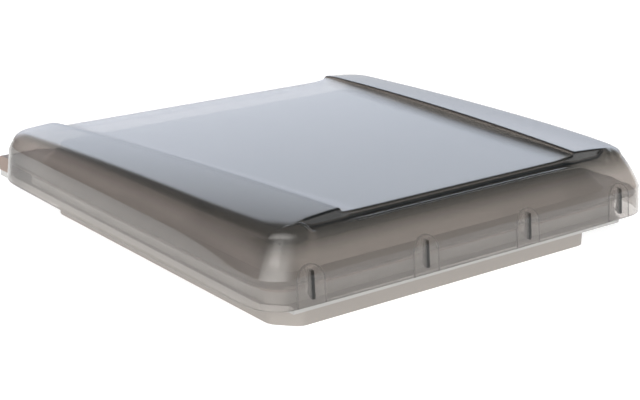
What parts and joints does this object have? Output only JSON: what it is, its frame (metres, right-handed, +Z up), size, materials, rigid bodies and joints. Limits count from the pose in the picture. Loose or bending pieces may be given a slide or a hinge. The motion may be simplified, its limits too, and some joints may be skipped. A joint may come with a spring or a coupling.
{
  "type": "caravan roof vent",
  "caption": "Roof vent with a rear-hinged acrylic dome over a flanged frame and collar, held open by a bow whose shoes slide in guide rails and locked shut by hook catches.",
  "frame": {"origin": "centre of the roof cut-out, on the roof's outer surface", "axes": "+Z up out of the roof, +Y from the opening front to the hinged rear, +X across"},
  "size_m": [0.4852, 0.4922, 0.1057],
  "materials": {
    "frame_plastic": "moulded, off-white beige",
    "seal_rubber": "black bulb seal",
    "smoked_acrylic": "smoked translucent acrylic",
    "clear_acrylic": "clear tinted acrylic",
    "clip_plastic": "clear moulding",
    "grey_plastic": "grey moulding",
    "white_plastic": "white acetal",
    "aluminium": "satin anodised",
    "steel": "zinc plated"
  },
  "bodies": {
    "frame": {"base_frame": "frame_plastic", "dome_seal": "seal_rubber", "rear_rail": "frame_plastic", "rail_cap_left": "frame_plastic", "rail_cap_right": "frame_plastic", "rail_screws": "steel", "hinge_pins": "steel", "pivot_bracket_left": "steel", "pivot_bracket_right": "steel", "bracket_screws": "steel", "pivot_pins": "steel", "catch_bracket_left": "steel", "catch_bracket_right": "steel", "catch_screws": "steel", "catch_pins": "steel"},
    "dome": {"outer_dome": "smoked_acrylic", "inner_dome": "clear_acrylic", "skirt_clips": "clip_plastic", "hinge_arms": "grey_plastic", "hinge_arm_screws": "steel", "guide_rail_left": "aluminium", "guide_rail_right": "aluminium", "guide_stops": "steel"},
    "bow": {"bow_arm_left": "aluminium", "bow_arm_right": "aluminium", "bow_bar": "aluminium", "bow_grip": "grey_plastic", "shoe_pins": "steel", "pivot_bushes": "white_plastic"},
    "shoe_left": {"guide_shoe_left": "white_plastic"},
    "shoe_right": {"guide_shoe_right": "white_plastic"},
    "catch_left": {"catch_hook_left": "grey_plastic"},
    "catch_right": {"catch_hook_right": "grey_plastic"}
  },
  "joints": [
    {"name": "dome_hinge", "type": "hinge", "parent": "frame", "child": "dome", "pos_m": [0, 0.2446, 0.0154], "axis": [-1, 0, 0], "range_deg": [0, 45]},
    {"name": "bow_pivot", "type": "hinge", "parent": "frame", "child": "bow", "pos_m": [0, 0.03965, 0.0154], "axis": [-1, 0, 0], "range_deg": [0, 90]},
    {"name": "shoe_left_pivot", "type": "hinge", "parent": "bow", "child": "shoe_left", "pos_m": [-0.1755, -0.1653, 0.0154], "axis": [-1, 0, 0], "range_deg": [-45, 0]},
    {"name": "shoe_right_pivot", "type": "hinge", "parent": "bow", "child": "shoe_right", "pos_m": [0.1755, -0.1653, 0.0154], "axis": [-1, 0, 0], "range_deg": [-45, 0]},
    {"name": "catch_left_pivot", "type": "hinge", "parent": "frame", "child": "catch_left", "pos_m": [-0.09, -0.1885, -0.0151], "axis": [-1, 0, 0], "range_deg": [0, 35]},
    {"name": "catch_right_pivot", "type": "hinge", "parent": "frame", "child": "catch_right", "pos_m": [0.09, -0.1885, -0.0151], "axis": [-1, 0, 0], "range_deg": [0, 35]}
  ],
  "couplings": [
    {"joint": "bow_pivot", "follows": "dome_hinge", "ratio": 2},
    {"joint": "shoe_left_pivot", "follows": "dome_hinge", "ratio": -1},
    {"joint": "shoe_right_pivot", "follows": "dome_hinge", "ratio": -1}
  ]
}
